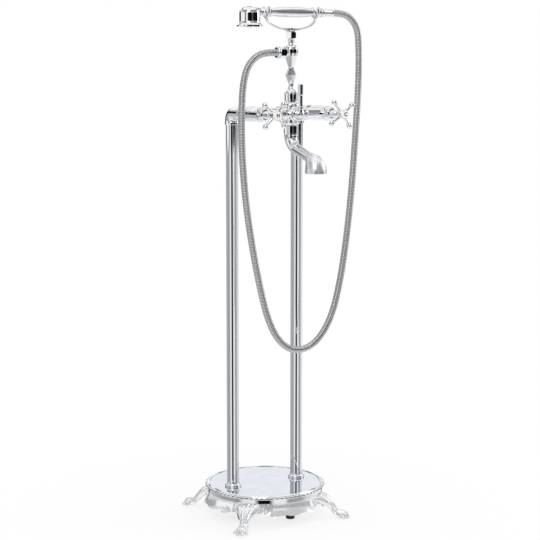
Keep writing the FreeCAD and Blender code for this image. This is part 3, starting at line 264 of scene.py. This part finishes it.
def mirror_plate():
    """Polished stainless plate: a cool mirror with faint turning rings under clouds of dust.
    Real rings are too fine to show, so they are drawn 1.6 mm apart. The clouds are 25 mm wide."""
    material, tree = new_material("mirror_plate")
    place = add(tree, "ShaderNodeTexCoord")
    rings = add(tree, "ShaderNodeTexWave",
                {"Scale": ring_scale(1.57), "Distortion": 0.4, "Detail": 1.0},
                {"Vector": (place, "Object")}, wave_type="RINGS", rings_direction="Z")
    dust = add(tree, "ShaderNodeTexNoise", {"Scale": cell_scale(25), "Detail": 5.0},
               {"Vector": (place, "Object")})
    rough = add(tree, "ShaderNodeMapRange", {"From Min": 0.3, "From Max": 0.8,
                                             "To Min": 0.03, "To Max": 0.09},
                {"Value": (dust, "Fac")})
    bump = add(tree, "ShaderNodeBump", {"Strength": 0.02, "Distance": 0.0002},
               {"Height": (rings, "Fac")})
    tint = add(tree, "ShaderNodeValToRGB", None, {"Fac": (dust, "Fac")})
    set_ramp(tint, [(0.3, "#DCE1EA"), (0.7, "#E8ECF2")])
    shader = add(tree, "ShaderNodeBsdfPrincipled", {"Metallic": 1.0},
                 {"Base Color": (tint, "Color"), "Roughness": (rough, "Result"),
                  "Normal": (bump, "Normal")})
    add(tree, "ShaderNodeOutputMaterial", links={"Surface": (shader, "BSDF")})
    return material


def hose_strip():
    """Interlocked chromed steel strip: painted shade in the grooves between the ribs and a painted
    highlight on their crowns, and dulled unevenly by handling in spots of 2 mm."""
    material, tree = new_material("hose_strip")
    shape = add(tree, "ShaderNodeNewGeometry")
    place = add(tree, "ShaderNodeTexCoord")
    grain = add(tree, "ShaderNodeTexNoise", {"Scale": cell_scale(2), "Detail": 3.0},
                {"Vector": (place, "Object")})
    # Painted shade in the grooves and a painted highlight on the rib crowns, going by how pointed
    # the surface is.
    tint = add(tree, "ShaderNodeValToRGB", None, {"Fac": (shape, "Pointiness")})
    set_ramp(tint, [(0.44, "#303133"), (0.505, "#949698"), (0.56, "#ECEDEE")])
    rough = add(tree, "ShaderNodeMapRange", {"From Min": 0.3, "From Max": 0.7,
                                             "To Min": 0.1, "To Max": 0.22},
                {"Value": (grain, "Fac")})
    shader = add(tree, "ShaderNodeBsdfPrincipled", {"Metallic": 1.0},
                 {"Base Color": (tint, "Color"), "Roughness": (rough, "Result")})
    add(tree, "ShaderNodeOutputMaterial", links={"Surface": (shader, "BSDF")})
    return material


def glazed_porcelain():
    """White glazed porcelain: a clear gloss over a white body that is mottled in 3 mm spots."""
    material, tree = new_material("glazed_porcelain")
    place = add(tree, "ShaderNodeTexCoord")
    mottle = add(tree, "ShaderNodeTexNoise", {"Scale": cell_scale(3.33), "Detail": 3.0},
                 {"Vector": (place, "Object")})
    tint = add(tree, "ShaderNodeValToRGB", None, {"Fac": (mottle, "Fac")})
    set_ramp(tint, [(0.3, "#EFEFEA"), (0.7, "#F8F8F5")])
    bump = add(tree, "ShaderNodeBump", {"Strength": 0.04, "Distance": 0.0002},
               {"Height": (mottle, "Fac")})
    shader = add(tree, "ShaderNodeBsdfPrincipled",
                 {"Roughness": 0.12, "Coat Weight": 0.6, "Coat Roughness": 0.04, "IOR": 1.5},
                 {"Base Color": (tint, "Color"), "Normal": (bump, "Normal")})
    add(tree, "ShaderNodeOutputMaterial", links={"Surface": (shader, "BSDF")})
    return material


def moulded_rubber():
    """Black moulded rubber: matt, with a grain of 0.6 mm and a dusty bloom in 11 mm patches."""
    material, tree = new_material("moulded_rubber")
    place = add(tree, "ShaderNodeTexCoord")
    grain = add(tree, "ShaderNodeTexNoise", {"Scale": cell_scale(0.625), "Detail": 2.0},
                {"Vector": (place, "Object")})
    bloom = add(tree, "ShaderNodeTexNoise", {"Scale": cell_scale(11.1), "Detail": 4.0},
                {"Vector": (place, "Object")})
    tint = add(tree, "ShaderNodeValToRGB", None, {"Fac": (bloom, "Fac")})
    set_ramp(tint, [(0.3, "#070707"), (0.75, "#161616")])
    bump = add(tree, "ShaderNodeBump", {"Strength": 0.3, "Distance": 0.0003},
               {"Height": (grain, "Fac")})
    shader = add(tree, "ShaderNodeBsdfPrincipled", {"Roughness": 0.75, "IOR": 1.52},
                 {"Base Color": (tint, "Color"), "Normal": (bump, "Normal")})
    add(tree, "ShaderNodeOutputMaterial", links={"Surface": (shader, "BSDF")})
    return material


def turned_brass():
    """Turned brass: warm, with tool marks 1 mm apart and dull patches of tarnish 8 mm across."""
    material, tree = new_material("turned_brass")
    place = add(tree, "ShaderNodeTexCoord")
    tarnish = add(tree, "ShaderNodeTexNoise", {"Scale": cell_scale(8.33), "Detail": 4.0},
                  {"Vector": (place, "Object")})
    lines = add(tree, "ShaderNodeTexWave", {"Scale": ring_scale(0.98), "Distortion": 1.0},
                {"Vector": (place, "Object")}, wave_type="BANDS", bands_direction="Z")
    tint = add(tree, "ShaderNodeValToRGB", None, {"Fac": (tarnish, "Fac")})
    set_ramp(tint, [(0.3, "#A9803F"), (0.7, "#D9B972")])
    bump = add(tree, "ShaderNodeBump", {"Strength": 0.1, "Distance": 0.0002},
               {"Height": (lines, "Fac")})
    shader = add(tree, "ShaderNodeBsdfPrincipled", {"Metallic": 1.0, "Roughness": 0.32},
                 {"Base Color": (tint, "Color"), "Normal": (bump, "Normal")})
    add(tree, "ShaderNodeOutputMaterial", links={"Surface": (shader, "BSDF")})
    return material


def zinc_steel():
    """Zinc plated steel: grey-blue, with a soft spangle of about 3 mm."""
    material, tree = new_material("zinc_steel")
    place = add(tree, "ShaderNodeTexCoord")
    spangle = add(tree, "ShaderNodeTexVoronoi", {"Scale": cell_scale(3.03)},
                  {"Vector": (place, "Object")})
    tint = add(tree, "ShaderNodeValToRGB", None, {"Fac": (spangle, "Color")})
    set_ramp(tint, [(0.1, "#A6ACB2"), (0.9, "#C9CED3")])
    shader = add(tree, "ShaderNodeBsdfPrincipled", {"Metallic": 1.0, "Roughness": 0.34},
                 {"Base Color": (tint, "Color")})
    add(tree, "ShaderNodeOutputMaterial", links={"Surface": (shader, "BSDF")})
    return material


def moulded_plastic():
    """Grey moulded acetal of the flow straightener: satin, with a moulded grain of 1 mm."""
    material, tree = new_material("moulded_plastic")
    place = add(tree, "ShaderNodeTexCoord")
    grain = add(tree, "ShaderNodeTexNoise", {"Scale": cell_scale(1.11), "Detail": 2.0},
                {"Vector": (place, "Object")})
    tint = add(tree, "ShaderNodeValToRGB", None, {"Fac": (grain, "Fac")})
    set_ramp(tint, [(0.3, "#B9BBBE"), (0.7, "#C8CACC")])
    bump = add(tree, "ShaderNodeBump", {"Strength": 0.1, "Distance": 0.0002},
               {"Height": (grain, "Fac")})
    shader = add(tree, "ShaderNodeBsdfPrincipled", {"Roughness": 0.45, "IOR": 1.48},
                 {"Base Color": (tint, "Color"), "Normal": (bump, "Normal")})
    add(tree, "ShaderNodeOutputMaterial", links={"Surface": (shader, "BSDF")})
    return material


def mark_enamel():
    """Fired black enamel of the button marks: dense and glossy, uneven in spots of 1 mm."""
    material, tree = new_material("mark_enamel")
    place = add(tree, "ShaderNodeTexCoord")
    uneven = add(tree, "ShaderNodeTexNoise", {"Scale": cell_scale(1.11)},
                 {"Vector": (place, "Object")})
    tint = add(tree, "ShaderNodeValToRGB", None, {"Fac": (uneven, "Fac")})
    set_ramp(tint, [(0.3, "#17181A"), (0.7, "#26282B")])
    shader = add(tree, "ShaderNodeBsdfPrincipled", {"Roughness": 0.25},
                 {"Base Color": (tint, "Color")})
    add(tree, "ShaderNodeOutputMaterial", links={"Surface": (shader, "BSDF")})
    return material


chrome = polished_chrome()
casting = cast_chrome()
plate = mirror_plate()
beading = beaded_chrome()
limed = limed_chrome()
strip = hose_strip()
porcelain = glazed_porcelain()
rubber = moulded_rubber()
brass = turned_brass()
steel = zinc_steel()
plastic = moulded_plastic()
enamel = mark_enamel()

# Every piece that is not named here is polished chrome.
finishes = {
    "base_casting": casting, "base_plate": plate, "spout": limed,
    "rubber_feet": rubber, "union_washers": rubber, "spout_seal": rubber,
    "index_button_hot": porcelain, "index_button_cold": porcelain,
    "cartridge_hot": brass, "cartridge_cold": brass, "diverter_valve": brass,
    "spindle_hot": brass, "spindle_cold": brass, "lock_nuts": brass,
    "levelling_studs": steel, "lock_washers": steel,
    "handle_screw_hot": steel, "handle_screw_cold": steel,
    "aerator": plastic, "shower_hose": strip,
}
for node_name, solid in nodes.items():
    solid.data.materials.clear()
    solid.data.materials.append(finishes.get(node_name, chrome))


# ---- hose ----------------------------------------------------------------------------------------
# The way of the hose from the outlet nut to the hand shower's nut, as x and z in millimetres.
hose_route = [
    (-33.4, 954.0), (-59.0, 954.0), (-80.0, 945.5), (-97.0, 926.5), (-105.3, 899.0),
    (-109.0, 862.0), (-110.3, 805.0), (-108.0, 740.0), (-100.0, 655.0), (-84.0, 560.0),
    (-66.0, 478.0), (-50.0, 424.0), (-28.0, 384.0), (2.0, 361.5), (40.0, 362.5), (72.0, 385.5),
    (98.0, 430.0), (116.5, 500.0), (131.0, 590.0), (142.0, 690.0), (149.0, 785.0),
    (154.5, 872.0), (156.3, 925.0), (155.6, 960.0), (153.5, 996.8), (140.6, 1018.9),
    (118.5, 1031.5), (93.3, 1031.5)]

# Metres.
hose_radius = 0.007
rib_pitch = 0.003


def hose_line():
    """Points along the smooth line of the hose, close together."""
    curve = bpy.data.curves.new("hose_line", "CURVE")
    curve.dimensions = "3D"
    curve.resolution_u = 24
    spline = curve.splines.new("NURBS")
    spline.points.add(len(hose_route) - 1)
    for point, (x, z) in zip(spline.points, hose_route):
        point.co = (x / 1000, MIXER_Y, z / 1000, 1.0)
    spline.order_u = 3
    spline.use_endpoint_u = True
    holder = bpy.data.objects.new("hose_line", curve)
    line = bpy.data.meshes.new_from_object(holder)
    points = [vertex.co.copy() for vertex in line.vertices]
    bpy.data.objects.remove(holder)
    return points


def even_points(points, step):
    """The same line cut into equal steps, and its whole length."""
    rounding = 1e-9
    total = sum((b - a).length for a, b in zip(points, points[1:]))
    count = round(total / step)
    step = total / count
    found = [points[0].copy()]
    gone = 0.0
    target = step
    for a, b in zip(points, points[1:]):
        length = (b - a).length
        while gone + length >= target - rounding and len(found) < count:
            found.append(a.lerp(b, (target - gone) / length))
            target += step
        gone += length
    found.append(points[-1].copy())
    return found, total


def ribbed_hose():
    """Ribbed tube: crown, shoulder, groove and shoulder for each turn of the strip."""
    heights = (1.0, 0.965, 0.89, 0.965)
    around = 20
    side = Vector((0, 1, 0))
    centres, total = even_points(hose_line(), rib_pitch / len(heights))
    verts = []
    for k, centre in enumerate(centres):
        ahead = centres[min(k + 1, len(centres) - 1)] - centres[max(k - 1, 0)]
        up = ahead.normalized().cross(side).normalized()
        radius = hose_radius * heights[k % len(heights)]
        for j in range(around):
            turn = 2 * math.pi * j / around
            verts.append(centre + (side * math.cos(turn) + up * math.sin(turn)) * radius)
    faces = []
    for k in range(len(centres) - 1):
        for j in range(around):
            a = k * around + j
            b = k * around + (j + 1) % around
            faces.append((a, b, b + around, a + around))
    last = (len(centres) - 1) * around
    faces.append(tuple(reversed(range(around))))
    faces.append(tuple(last + j for j in range(around)))
    mesh = bpy.data.meshes.new("ribbed_hose")
    mesh.from_pydata(verts, [], faces)
    mesh.update()
    smooth(mesh)
    hose = new_object("ribbed_hose", mesh, strip, None)
    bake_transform(hose)
    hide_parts("shower_hose")


ribbed_hose()


# ---- base ornament -------------------------------------------------------------------------------
def claw_foot_base():
    """The base casting with its paws drawn in to about 30 mm across, as cast claws are.
    A leg keeps its breadth as far as the ankle and narrows smoothly from there to the paw."""
    ankle = 0.150
    paw = 0.166
    slim = 0.58
    mesh = nodes["base_casting"].data.copy()
    mesh.name = "claw_foot_base"
    for vertex in mesh.vertices:
        x, y, z = vertex.co
        along = (abs(x) + abs(y)) / math.sqrt(2)
        across = (abs(x) - abs(y)) / math.sqrt(2)
        if along < ankle:
            continue
        share = min((along - ankle) / (paw - ankle), 1.0)
        ease = share * share * (3 - 2 * share)
        across *= 1 + (slim - 1) * ease
        vertex.co = (math.copysign((along + across) / math.sqrt(2), x),
                     math.copysign((along - across) / math.sqrt(2), y), z)
    base = new_object("claw_foot_base", mesh, casting, "stand")
    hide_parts("base_casting")


claw_foot_base()


def bead_row():
    """Row of slightly flattened beads in the cove of the rim."""
    count = 74
    reach = 0.1218
    height = 0.0632
    bead_radius = 0.0026
    flatten = Matrix.Scale(0.9, 4, (0, 0, 1))
    work = bmesh.new()
    for k in range(count):
        angle = 2 * math.pi * k / count
        place = Matrix.Translation((reach * math.cos(angle), reach * math.sin(angle), height))
        bmesh.ops.create_uvsphere(work, u_segments=14, v_segments=9, radius=bead_radius,
                                  matrix=place @ flatten)
    mesh = bpy.data.meshes.new("rim_beads")
    work.to_mesh(mesh)
    work.free()
    smooth(mesh)
    beads = new_object("rim_beads", mesh, beading, "stand")


bead_row()


# ---- button marks --------------------------------------------------------------------------------
def button_mark(letter, x, body):
    """Plain enamel letter let into the crown of a button, with its face 0.15 mm proud of it."""
    half_thickness = 0.00025
    proud = 0.00015
    curve = bpy.data.curves.new("mark_" + letter, "FONT")
    curve.body = letter
    curve.size = 0.0095
    curve.extrude = half_thickness
    curve.offset = 0.0003
    curve.align_x = "CENTER"
    curve.align_y = "CENTER"
    holder = bpy.data.objects.new("mark_holder", curve)
    mesh = bpy.data.meshes.new_from_object(holder)
    bpy.data.objects.remove(holder)
    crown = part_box("index_button_" + body)[0][1]
    mesh.transform(Matrix.Translation((x, crown + half_thickness - proud, MIXER_Z))
                   @ Matrix.Rotation(math.radians(90), 4, "X"))
    mark = new_object("mark_" + body, mesh, enamel, body + "_handle_body")


button_mark("H", -0.075, "hot")
button_mark("C", 0.075, "cold")


# ---- studio --------------------------------------------------------------------------------------
def floor():
    """White floor: it keeps a faint shadow round the feet and is plain white further out."""
    shadow_full = 0.1
    shadow_gone = 0.6
    least_glow = 0.72
    mesh = bpy.data.meshes.new("floor")
    work = bmesh.new()
    bmesh.ops.create_circle(work, cap_ends=True, segments=96, radius=1.4)
    work.to_mesh(mesh)
    work.free()
    material, tree = new_material("pale_floor")
    place = add(tree, "ShaderNodeTexCoord")
    reach = add(tree, "ShaderNodeVectorMath", None, {0: (place, "Object")}, operation="LENGTH")
    fade = add(tree, "ShaderNodeMapRange", {"From Min": shadow_full, "From Max": shadow_gone,
                                            "To Min": least_glow},
               {"Value": (reach, "Value")})
    matt = add(tree, "ShaderNodeBsdfDiffuse", {"Color": linear("#FBFBFB")})
    glow = add(tree, "ShaderNodeEmission", {"Color": linear("#FFFFFF"), "Strength": 1.0})
    mixed = add(tree, "ShaderNodeMixShader", None,
                {0: (fade, "Result"), 1: (matt, "BSDF"), 2: (glow, "Emission")})
    add(tree, "ShaderNodeOutputMaterial", links={"Surface": (mixed, "Shader")})
    ground = new_object("floor", mesh, material, None)
    ground.location = (0, 0, -0.0005)
    ground.visible_glossy = False


# Sockets of a Mix node that carry colour. They share their names with others, so they go by number.
MIX_A = 6
MIX_B = 7
MIX_COLOUR = 2


def surround(tree, split):
    """Room that the polished metal mirrors: white, with the soft dark gaps of a studio.

    The low wall is what the upright pipes mirror, and it comes back higher up, where the base
    plate looks. The eye-level wall is what the mixer and the hand shower mirror. The ceiling takes
    in all that is above and below them, and over the front a canopy shades the rounded tops."""
    angle = add(tree, "ShaderNodeMath", None, {0: (split, "Y"), 1: (split, "X")},
                operation="ARCTAN2")
    turn = add(tree, "ShaderNodeMapRange", {"From Min": -math.pi, "From Max": math.pi},
               {"Value": (angle, "Value")})
    low_wall = add(tree, "ShaderNodeValToRGB", None, {"Fac": (turn, "Result")})
    set_ramp(low_wall, [
        (0.0, "#A0A0A2"), (0.022, "#9A9A9C"), (0.048, "#EFEFEF"), (0.112, "#F4F4F4"),
        (0.138, "#101012"), (0.196, "#101012"), (0.222, "#F6F6F6"), (0.282, "#F4F4F4"),
        (0.305, "#A4A4A6"), (0.388, "#A8A8AA"), (0.42, "#DADADA"), (0.49, "#F2F2F2"),
        (0.595, "#FFFFFF"), (0.60, "#18181A"), (0.622, "#18181A"),
        (0.627, "#FFFFFF"), (0.735, "#F6F6F8"), (0.74, "#18181A"), (0.765, "#18181A"),
        (0.77, "#D8D8DA"), (0.80, "#C2C2C4"), (0.925, "#A6A6A8")])
    eye_wall = add(tree, "ShaderNodeValToRGB", None, {"Fac": (turn, "Result")})
    set_ramp(eye_wall, [
        (0.0, "#F4F4F4"), (0.02, "#F4F4F4"), (0.025, "#1A1A1C"), (0.05, "#1A1A1C"),
        (0.055, "#F4F4F4"), (0.108, "#F4F4F4"), (0.116, "#0C0C0D"), (0.226, "#0C0C0D"),
        (0.234, "#5A5550"), (0.27, "#5A5550"), (0.28, "#101012"), (0.44, "#101012"),
        (0.455, "#FFFFFF"), (0.50, "#FFFFFF"), (0.51, "#1A1A1C"), (0.58, "#1A1A1C"),
        (0.59, "#FFFFFF"), (0.745, "#FFFFFF"), (0.755, "#1A1A1C"), (0.86, "#1A1A1C"),
        (0.87, "#FFFFFF")])
    at_front = add(tree, "ShaderNodeValToRGB", None, {"Fac": (turn, "Result")})
    set_ramp(at_front, [(0.0, "#FFFFFF"), (0.40, "#FFFFFF"), (0.46, "#000000"),
                        (0.92, "#000000"), (0.97, "#FFFFFF")])
    rise = add(tree, "ShaderNodeMapRange", {"From Min": -1.0, "From Max": 1.0},
               {"Value": (split, "Z")})
    ceiling = add(tree, "ShaderNodeValToRGB", None, {"Fac": (rise, "Result")})
    set_ramp(ceiling, [
        (0.20, "#FFFFFF"), (0.215, "#9A9A9C"), (0.23, "#9A9A9C"), (0.245, "#FFFFFF"),
        (0.75, "#FFFFFF"), (0.77, "#3A3A3C"), (0.81, "#3A3A3C"), (0.83, "#FFFFFF")])
    canopy = add(tree, "ShaderNodeValToRGB", None, {"Fac": (rise, "Result")})
    set_ramp(canopy, [
        (0.20, "#FFFFFF"), (0.215, "#8A8A8C"), (0.23, "#8A8A8C"), (0.245, "#FFFFFF"),
        (0.60, "#FFFFFF"), (0.67, "#5C5C60"), (0.69, "#8C8C8F"),
        (0.83, "#9A9A9D"), (0.85, "#1C1C1E"), (0.875, "#1C1C1E"), (0.89, "#FFFFFF")])
    at_low_wall = add(tree, "ShaderNodeValToRGB", None, {"Fac": (rise, "Result")})
    set_ramp(at_low_wall, [
        (0.26, "#000000"), (0.29, "#FFFFFF"), (0.505, "#FFFFFF"), (0.52, "#000000"),
        (0.606, "#000000"), (0.612, "#FFFFFF"), (0.668, "#FFFFFF"), (0.676, "#000000")])
    at_eye_wall = add(tree, "ShaderNodeValToRGB", None, {"Fac": (rise, "Result")})
    set_ramp(at_eye_wall, [(0.470, "#000000"), (0.473, "#FFFFFF"), (0.60, "#FFFFFF"),
                           (0.61, "#000000")])
    room = ceiling
    output = "Color"
    for mask, layer in ((at_front, canopy), (at_low_wall, low_wall), (at_eye_wall, eye_wall)):
        room = add(tree, "ShaderNodeMix", None,
                   {"Factor": (mask, "Color"), MIX_A: (room, output), MIX_B: (layer, "Color")},
                   data_type="RGBA")
        output = MIX_COLOUR
    return room


def studio():
    """White room with two soft lamps, and with dark gaps that only polished metal sees."""
    white = linear("#FFFFFF")
    room_light = 0.85
    world = bpy.data.worlds.new("studio")
    bpy.context.scene.world = world
    world.use_nodes = True
    tree = world.node_tree
    tree.nodes.clear()
    place = add(tree, "ShaderNodeTexCoord")
    split = add(tree, "ShaderNodeSeparateXYZ", None, {0: (place, "Generated")})
    room = surround(tree, split)
    path = add(tree, "ShaderNodeLightPath")
    seen = add(tree, "ShaderNodeBackground", {"Color": white, "Strength": 1.0})
    fill = add(tree, "ShaderNodeBackground", {"Color": white, "Strength": room_light})
    gloss = add(tree, "ShaderNodeBackground", {"Strength": 1.0}, {"Color": (room, MIX_COLOUR)})
    lit = add(tree, "ShaderNodeMixShader", None,
              {0: (path, "Is Glossy Ray"), 1: (fill, "Background"), 2: (gloss, "Background")})
    shown = add(tree, "ShaderNodeMixShader", None,
                {0: (path, "Is Camera Ray"), 1: (lit, "Shader"), 2: (seen, "Background")})
    add(tree, "ShaderNodeOutputWorld", links={"Surface": (shown, "Shader")})
    aim = Vector((0, 0, 0.5))
    lamps = [("key_lamp", (-1.6, -1.8, 2.4), 1.4, 14.0),
             ("side_lamp", (2.2, -0.6, 1.6), 1.2, 8.0)]
    for name, spot, breadth, watts in lamps:
        data = bpy.data.lights.new(name, "AREA")
        data.size = breadth
        data.energy = watts
        lamp = bpy.data.objects.new(name, data)
        bpy.context.collection.objects.link(lamp)
        lamp.location = spot
        lamp.rotation_euler = (aim - Vector(spot)).to_track_quat("-Z", "Y").to_euler()
    bpy.context.scene.view_settings.view_transform = "Standard"


floor()
studio()
